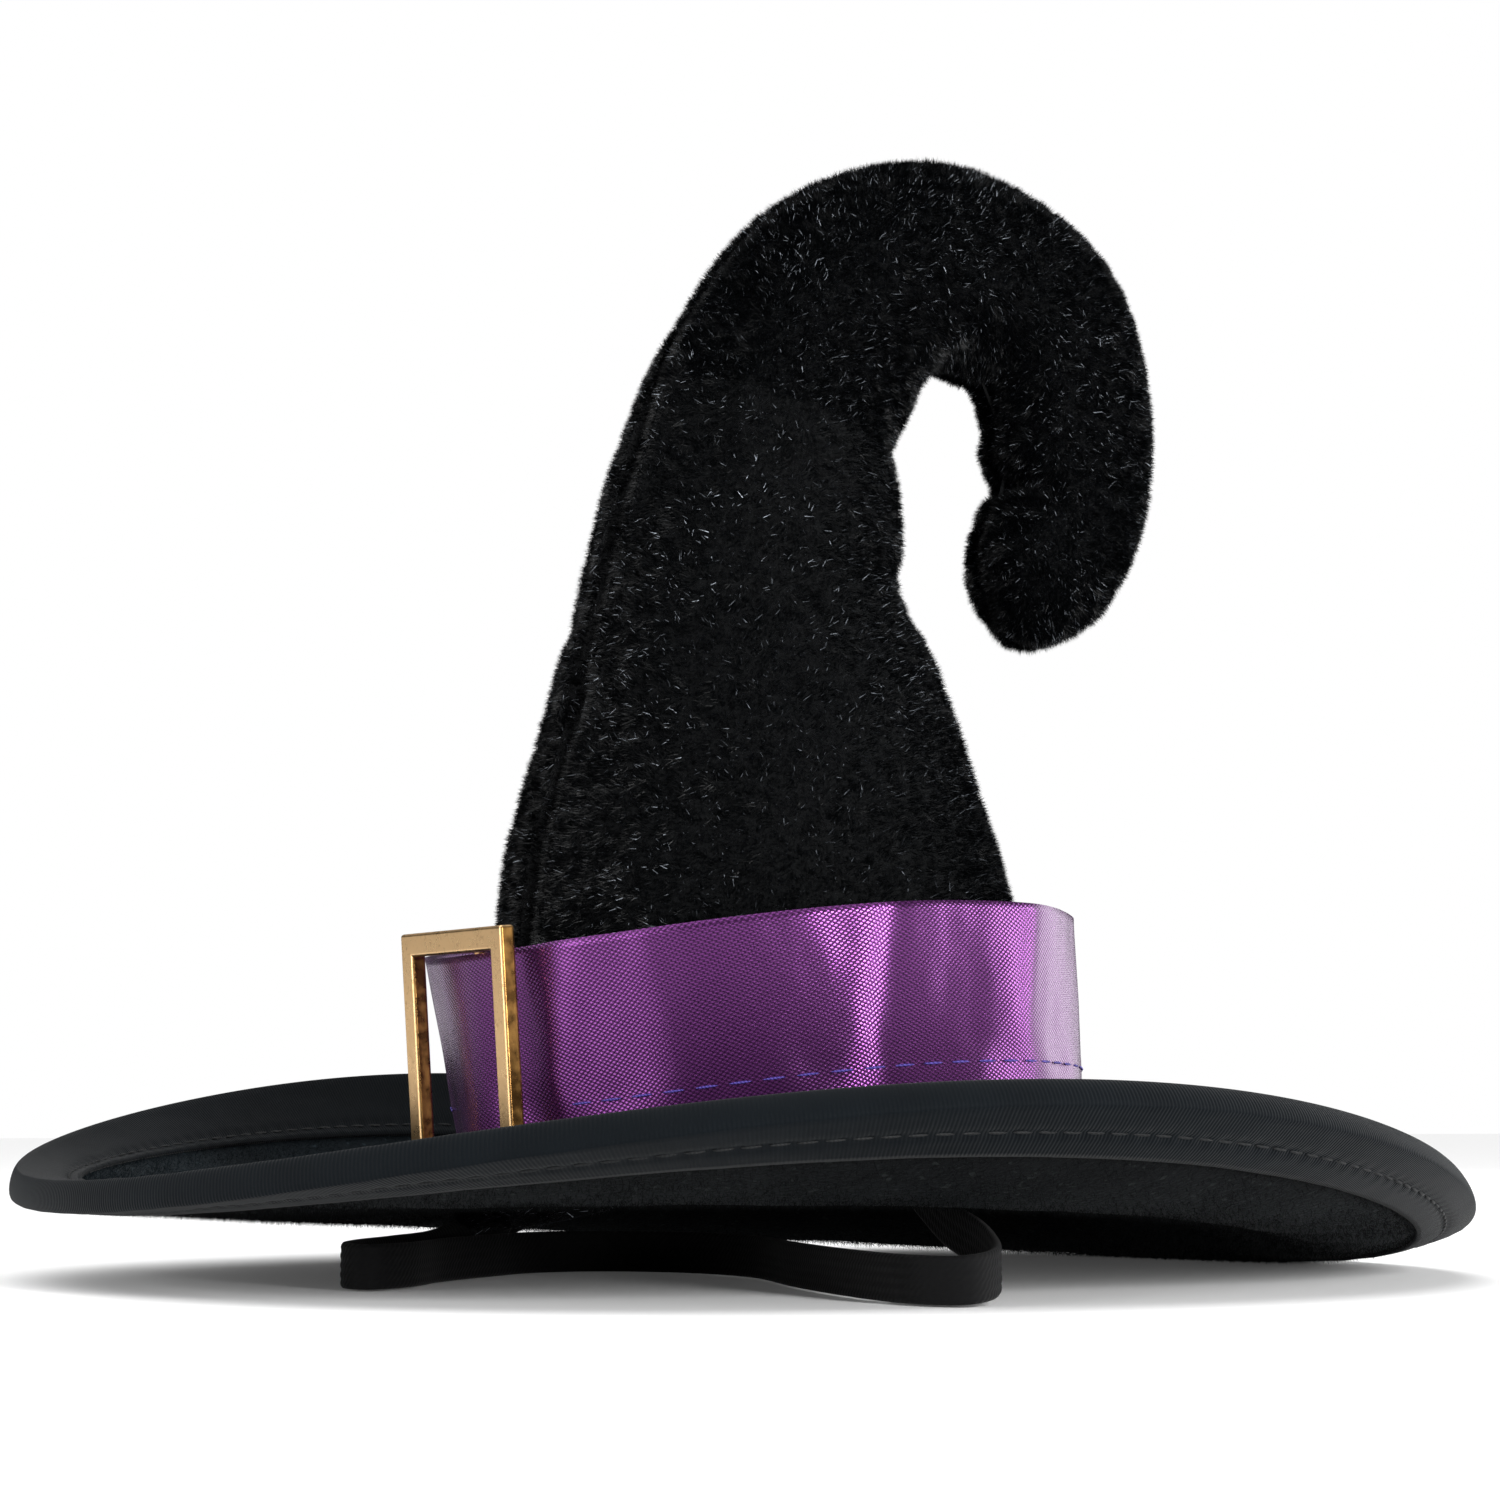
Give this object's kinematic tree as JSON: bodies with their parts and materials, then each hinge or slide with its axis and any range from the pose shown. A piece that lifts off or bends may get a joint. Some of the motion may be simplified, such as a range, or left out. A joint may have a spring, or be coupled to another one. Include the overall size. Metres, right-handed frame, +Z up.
{
  "type": "witch hat",
  "caption": "Small plush witch hat with a curled stuffed crown, bound felt brim, satin band, slide buckle and flat elastic chin strap.",
  "frame": {"origin": "centre of the hat's outline in plan, on the surface that the brim stands on", "axes": "+Z up; the buckle faces within 5 degrees of -Y and the crown's tip curls over towards +Y; the strap is sewn at the +X and -X sides"},
  "size_m": [0.1916, 0.2028, 0.1618],
  "materials": {
    "plush": "short pile",
    "stuffing": "fibre fill",
    "thread": "spun thread",
    "lining": "plain weave",
    "top_felt": "brushed felt",
    "stiffener": "pressed fibre",
    "under_felt": "brushed felt",
    "edge_tape": "folded woven tape",
    "satin": "satin ribbon",
    "violet_thread": "spun thread",
    "gold_metal": "brushed gold plating",
    "elastic": "ribbed flat elastic"
  },
  "bodies": {
    "hat": {"crown_panel_right": "plush", "crown_panel_left": "plush", "crown_stuffing": "stuffing", "front_seam_thread": "thread", "back_seam_thread": "thread", "crown_lining": "lining", "brim_top_felt": "top_felt", "brim_stiffener": "stiffener", "brim_under_felt": "under_felt", "brim_tape": "edge_tape", "tape_stitch_top": "thread", "tape_stitch_under": "thread", "hat_band": "satin", "band_stitch": "violet_thread", "chin_strap": "elastic", "strap_tack_right": "thread", "strap_tack_left": "thread"},
    "buckle": {"buckle": "gold_metal"}
  },
  "joints": [
    {"name": "buckle_rock", "type": "hinge", "parent": "hat", "child": "buckle", "pos_m": [0.00388, -0.04173, 0.0146], "axis": [0.0061, -0.0695, 0.9976], "range_deg": [-5, 5]}
  ]
}
